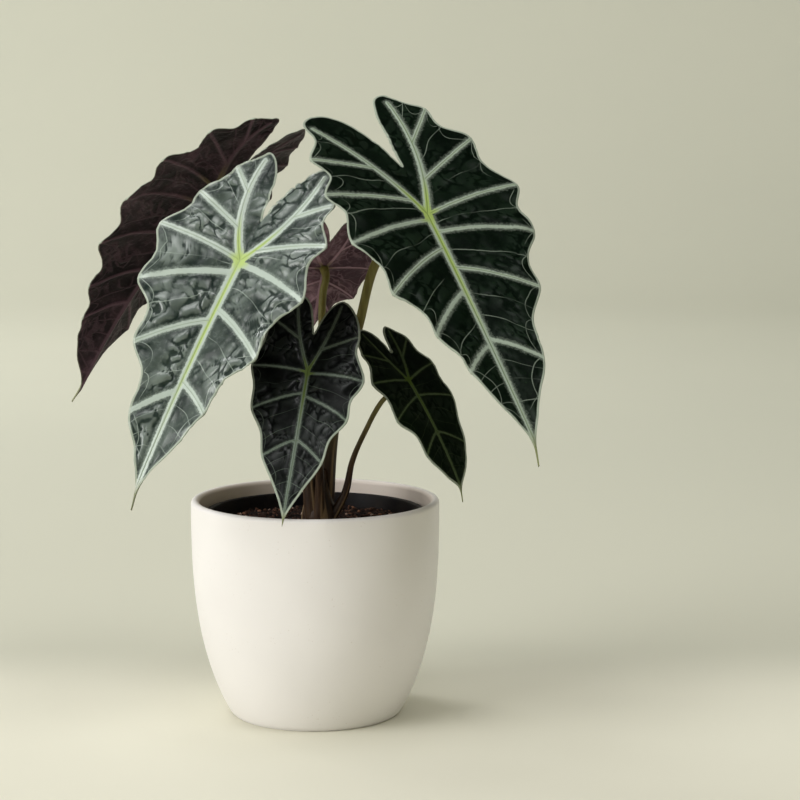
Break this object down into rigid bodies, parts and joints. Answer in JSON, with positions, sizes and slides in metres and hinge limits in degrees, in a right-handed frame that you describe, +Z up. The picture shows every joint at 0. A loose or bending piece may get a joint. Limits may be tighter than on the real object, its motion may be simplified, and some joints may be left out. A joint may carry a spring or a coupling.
{
  "type": "potted alocasia polly",
  "caption": "House plant with long arrow-shaped, wavy-edged leaves on arching petioles, in a nursery pot inside a round tapered ceramic pot.",
  "frame": {"origin": "centre of the pot's flat base", "axes": "+Z up, -Y towards the front of the plant, +X to the right seen from the front"},
  "size_m": [0.268, 0.213, 0.3474],
  "materials": {
    "ceramic": "matt cream-white glaze, slightly warm, faint speckle",
    "black_plastic": "thin moulded plastic, satin",
    "soil": "damp dark potting mix with bark and pumice bits",
    "petiole": "smooth waxy skin, olive above, brown sheaths with tan edges at the base",
    "blade": "glossy, quilted, very dark green with broad pale veins and a pale rim above, dull purple-brown below"
  },
  "bodies": {
    "root": {"pot": "ceramic", "nursery_pot": "black_plastic", "soil": "soil", "crown_with_petioles": "petiole", "leaf_back_left": "blade", "leaf_front_left": "blade", "leaf_right": "blade", "leaf_back": "blade", "leaf_front": "blade", "leaf_front_right": "blade"}
  },
  "joints": []
}
